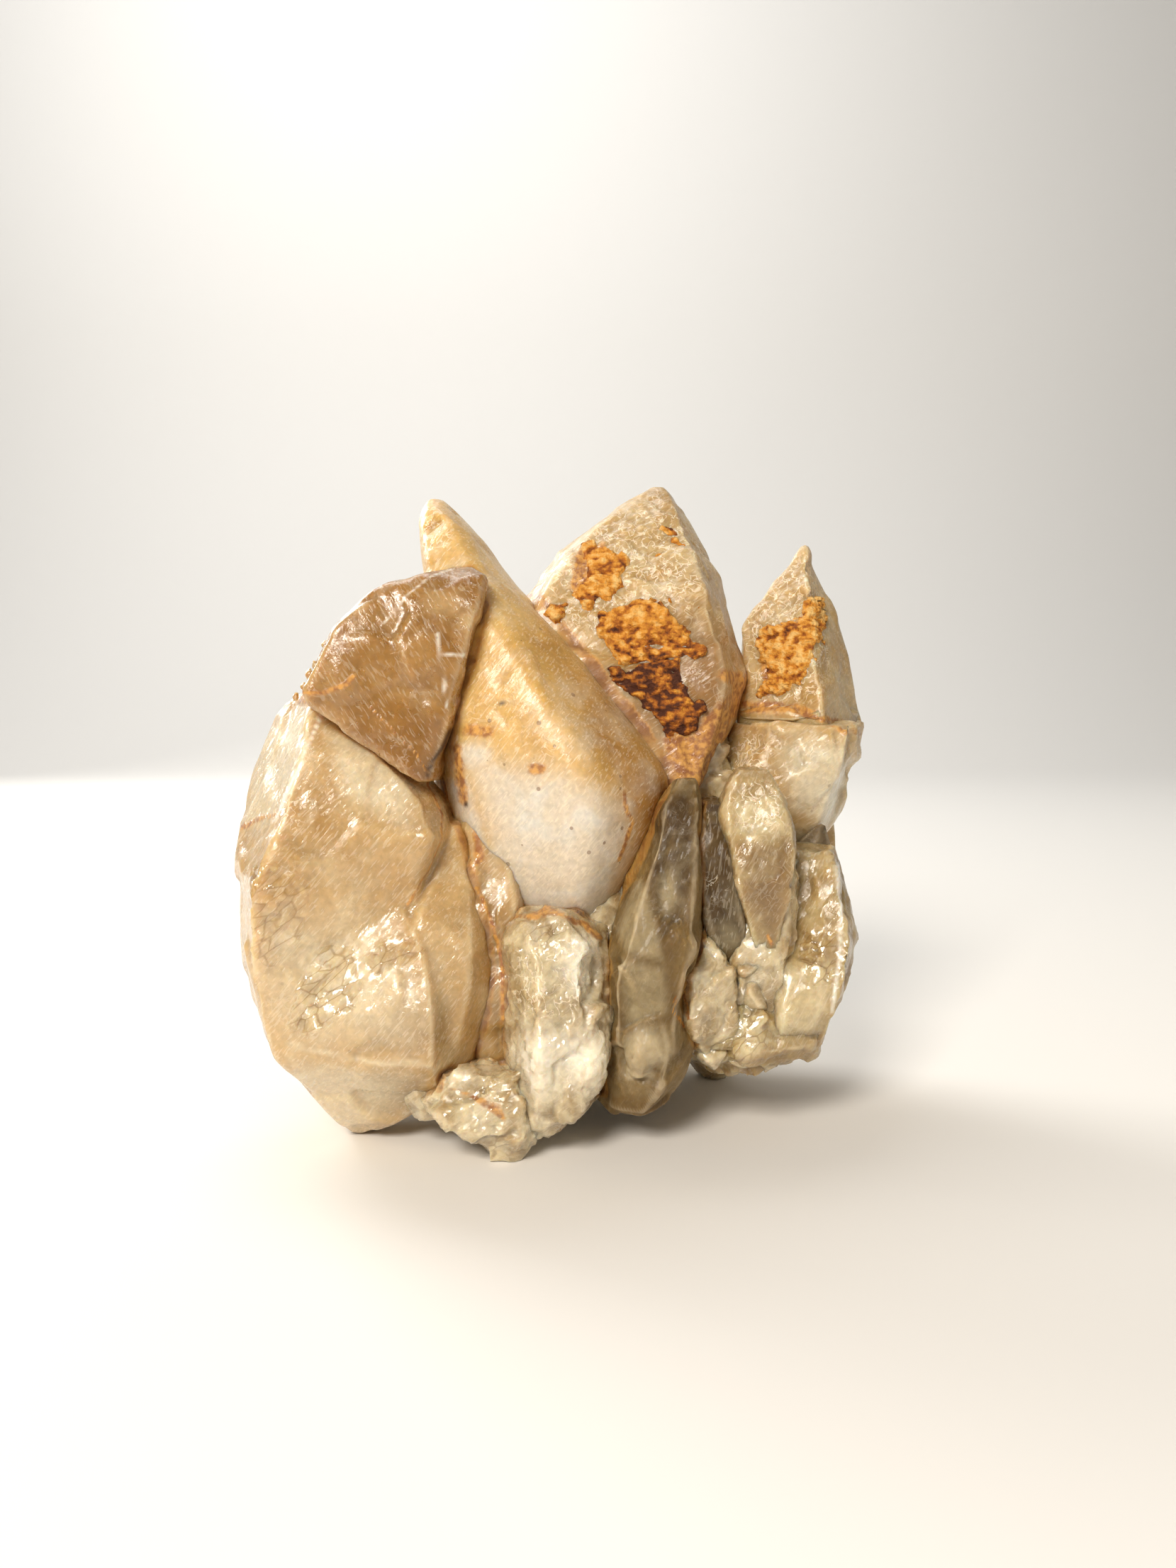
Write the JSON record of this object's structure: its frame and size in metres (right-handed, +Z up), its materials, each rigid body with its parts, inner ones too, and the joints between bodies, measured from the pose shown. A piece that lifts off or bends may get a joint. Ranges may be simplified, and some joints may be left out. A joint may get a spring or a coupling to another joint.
{
  "type": "dogtooth calcite cluster",
  "caption": "Free-standing cluster of blunt honey-coloured calcite teeth grown together on a lumpy root, resting on small broken feet.",
  "frame": {"origin": "middle of the cluster's bounding box in plan, at the level of the surface it stands on", "axes": "+Z up along the teeth, +X to the viewer's right when the main tooth faces the viewer, +Y away from the viewer through the cluster's depth"},
  "size_m": [0.1103, 0.0723, 0.111],
  "materials": {
    "honey_calcite": "translucent calcite, satin to glassy faces, rusty iron stain in the joints and ochre crust on two teeth"
  },
  "bodies": {
    "root": {"calcite_cluster": "honey_calcite"}
  },
  "joints": []
}
